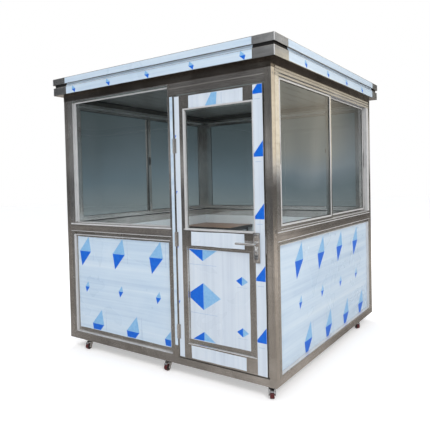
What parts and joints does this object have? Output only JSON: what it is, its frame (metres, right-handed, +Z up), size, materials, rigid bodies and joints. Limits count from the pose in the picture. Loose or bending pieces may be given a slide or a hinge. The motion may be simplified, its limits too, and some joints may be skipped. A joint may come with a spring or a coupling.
{
  "type": "guard booth",
  "caption": "Stainless steel guard booth on swivel casters, with a flat two-band roof, sliding windows, a half-glazed hinged door and a corner desk.",
  "frame": {"origin": "on the ground under the middle of the booth", "axes": "+X towards the wall beside the door, +Y from the door wall to the back wall, +Z up"},
  "size_m": [2.12, 2.15, 2.29],
  "materials": {
    "stainless_frame": "polished stainless steel",
    "window_frames": "polished stainless window sections",
    "filmed_sheet": "stainless sheet under pale blue protective film",
    "roof_sheet": "folded stainless sheet, filmed on its bands",
    "clear_glass": "clear float glass",
    "lock_steel": "satin chrome",
    "caster_steel": "zinc plated pressed steel",
    "caster_tread": "dark red polyurethane",
    "desk_board": "brown laminated board",
    "bracket_steel": "dark grey paint",
    "floor_sheet": "grey floor covering"
  },
  "bodies": {
    "booth": {"back_left_post": "stainless_frame", "back_lower_panel": "filmed_sheet", "back_right_post": "stainless_frame", "back_sill_rail": "stainless_frame", "back_window_frame": "window_frames", "back_window_glass": "clear_glass", "back_window_sashes": "window_frames", "base_frame": "stainless_frame", "caster_plates": "caster_steel", "desk_brackets": "bracket_steel", "desk_top": "desk_board", "door_header": "stainless_frame", "door_post": "stainless_frame", "eaves_band": "roof_sheet", "floor_deck": "floor_sheet", "front_left_post": "stainless_frame", "front_lower_panel": "filmed_sheet", "front_right_post": "stainless_frame", "front_sill_rail": "stainless_frame", "front_window_frame": "window_frames", "front_window_glass": "clear_glass", "head_frame": "stainless_frame", "left_lower_panel": "filmed_sheet", "left_sill_rail": "stainless_frame", "left_window_frame": "window_frames", "left_window_glass": "clear_glass", "left_window_sashes": "window_frames", "right_lower_panel": "filmed_sheet", "right_sill_rail": "stainless_frame", "right_window_frame": "window_frames", "right_window_glass": "clear_glass", "right_window_sashes": "window_frames", "roof_panel": "roof_sheet"},
    "door": {"door_frame": "stainless_frame", "door_glass": "clear_glass", "door_lower_panel": "filmed_sheet", "door_hinges": "lock_steel", "door_lock_plates": "lock_steel"},
    "lever": {"door_lever": "lock_steel"},
    "front_left_caster": {"front_left_caster_fork": "caster_steel"},
    "front_left_caster_roller": {"front_left_caster_wheel": "caster_tread"},
    "front_middle_caster": {"front_middle_caster_fork": "caster_steel"},
    "front_middle_caster_roller": {"front_middle_caster_wheel": "caster_tread"},
    "front_right_caster": {"front_right_caster_fork": "caster_steel"},
    "front_right_caster_roller": {"front_right_caster_wheel": "caster_tread"},
    "back_left_caster": {"back_left_caster_fork": "caster_steel"},
    "back_left_caster_roller": {"back_left_caster_wheel": "caster_tread"},
    "back_middle_caster": {"back_middle_caster_fork": "caster_steel"},
    "back_middle_caster_roller": {"back_middle_caster_wheel": "caster_tread"},
    "back_right_caster": {"back_right_caster_fork": "caster_steel"},
    "back_right_caster_roller": {"back_right_caster_wheel": "caster_tread"}
  },
  "joints": [
    {"name": "door_swing", "type": "hinge", "parent": "booth", "child": "door", "pos_m": [0.209, -1.02, 0.132], "axis": [0, 0, -1], "range_deg": [0, 105]},
    {"name": "lever_turn", "type": "hinge", "parent": "door", "child": "lever", "pos_m": [0.876, -1.013, 0.989], "axis": [0, -1, 0], "range_deg": [0, 40], "stiffness_Nm_per_rad": 0.8, "springref_deg": -28.65},
    {"name": "front_left_caster_swivel", "type": "hinge", "parent": "booth", "child": "front_left_caster", "pos_m": [-0.785, -0.983, 0.066], "axis": [0, 0, 1], "continuous": true},
    {"name": "front_left_caster_roll", "type": "hinge", "parent": "front_left_caster", "child": "front_left_caster_roller", "pos_m": [-0.785, -1.003, 0.025], "axis": [1, 0, 0], "continuous": true},
    {"name": "front_middle_caster_swivel", "type": "hinge", "parent": "booth", "child": "front_middle_caster", "pos_m": [0.085, -0.983, 0.066], "axis": [0, 0, 1], "continuous": true},
    {"name": "front_middle_caster_roll", "type": "hinge", "parent": "front_middle_caster", "child": "front_middle_caster_roller", "pos_m": [0.085, -1.003, 0.025], "axis": [1, 0, 0], "continuous": true},
    {"name": "front_right_caster_swivel", "type": "hinge", "parent": "booth", "child": "front_right_caster", "pos_m": [0.948, -0.983, 0.066], "axis": [0, 0, 1], "continuous": true},
    {"name": "front_right_caster_roll", "type": "hinge", "parent": "front_right_caster", "child": "front_right_caster_roller", "pos_m": [0.958, -1.00032, 0.025], "axis": [0.866, 0.5, 0], "continuous": true},
    {"name": "back_left_caster_swivel", "type": "hinge", "parent": "booth", "child": "back_left_caster", "pos_m": [-0.785, 0.675, 0.066], "axis": [0, 0, 1], "continuous": true},
    {"name": "back_left_caster_roll", "type": "hinge", "parent": "back_left_caster", "child": "back_left_caster_roller", "pos_m": [-0.785, 0.655, 0.025], "axis": [1, 0, 0], "continuous": true},
    {"name": "back_middle_caster_swivel", "type": "hinge", "parent": "booth", "child": "back_middle_caster", "pos_m": [0.085, 0.675, 0.066], "axis": [0, 0, 1], "continuous": true},
    {"name": "back_middle_caster_roll", "type": "hinge", "parent": "back_middle_caster", "child": "back_middle_caster_roller", "pos_m": [0.085, 0.655, 0.025], "axis": [1, 0, 0], "continuous": true},
    {"name": "back_right_caster_swivel", "type": "hinge", "parent": "booth", "child": "back_right_caster", "pos_m": [0.948, 0.675, 0.066], "axis": [0, 0, 1], "continuous": true},
    {"name": "back_right_caster_roll", "type": "hinge", "parent": "back_right_caster", "child": "back_right_caster_roller", "pos_m": [0.96438, 0.66353, 0.025], "axis": [0.5736, 0.8192, 0], "continuous": true}
  ]
}
